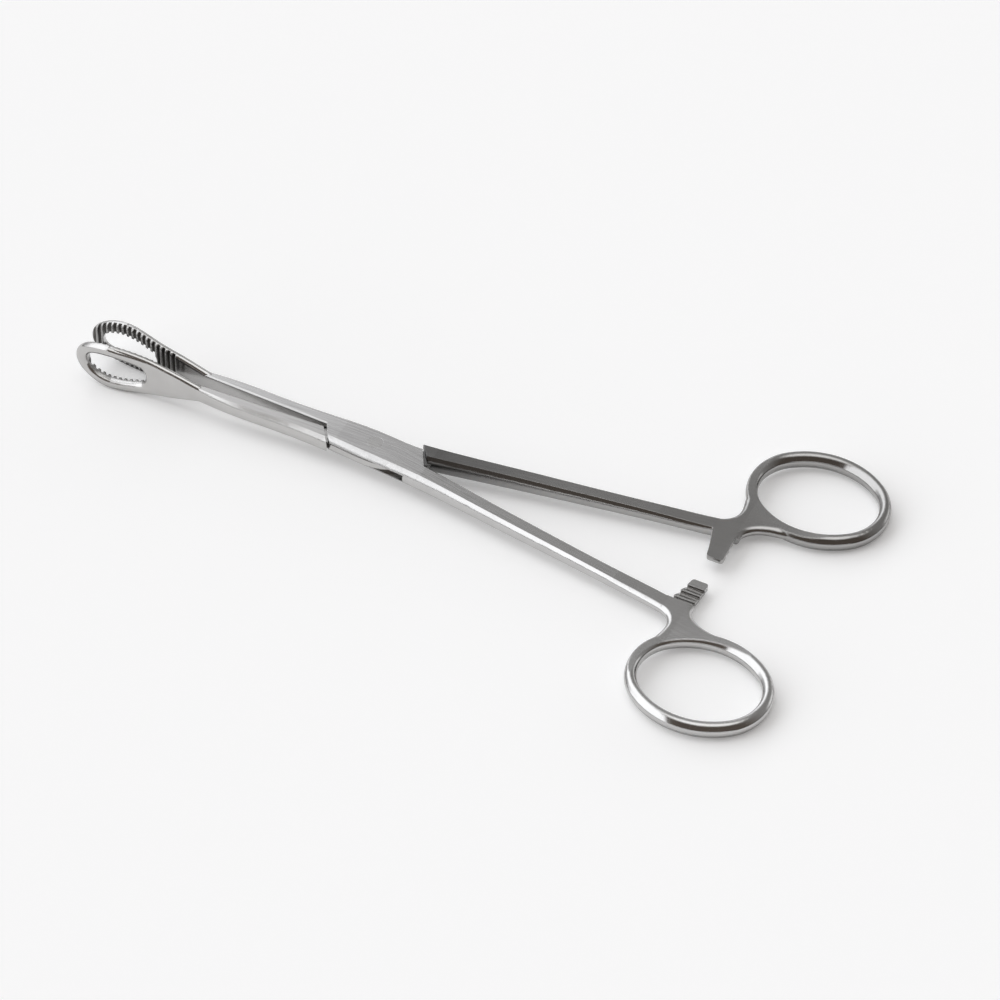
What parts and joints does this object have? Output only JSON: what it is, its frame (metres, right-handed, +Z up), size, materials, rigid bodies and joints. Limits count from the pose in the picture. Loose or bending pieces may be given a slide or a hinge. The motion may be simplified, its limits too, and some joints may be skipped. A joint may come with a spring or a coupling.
{
  "type": "sponge holding forceps",
  "caption": "Straight ring-handled forceps with a box lock, ratchet bars and oval fenestrated, cross-serrated jaws that hold a folded swab.",
  "frame": {"origin": "centre of the bounding box at its lowest level, as the open forceps lies on its jaw loops and finger rings", "axes": "+X runs from the jaw tips to the finger rings, +Z is up, square to the tray it lies on; the half with the slotted box has its jaw at +Y and its ring at -Y"},
  "size_m": [0.1766, 0.0842, 0.0123],
  "materials": {
    "satin_steel": "satin stainless steel with fine lengthwise brush lines on the flat faces and polished round sides",
    "pin_steel": "satin stainless steel, ground flush with the box"
  },
  "bodies": {
    "box_side": {"box_half": "satin_steel", "pivot_pin": "pin_steel"},
    "tongue_side": {"tongue_half": "satin_steel"}
  },
  "joints": [
    {"name": "lock_pivot", "type": "hinge", "parent": "box_side", "child": "tongue_side", "pos_m": [-0.01713, 0, 0.00462], "axis": [0.0244, 0, 0.9997], "range_deg": [-3.8, 50]}
  ]
}
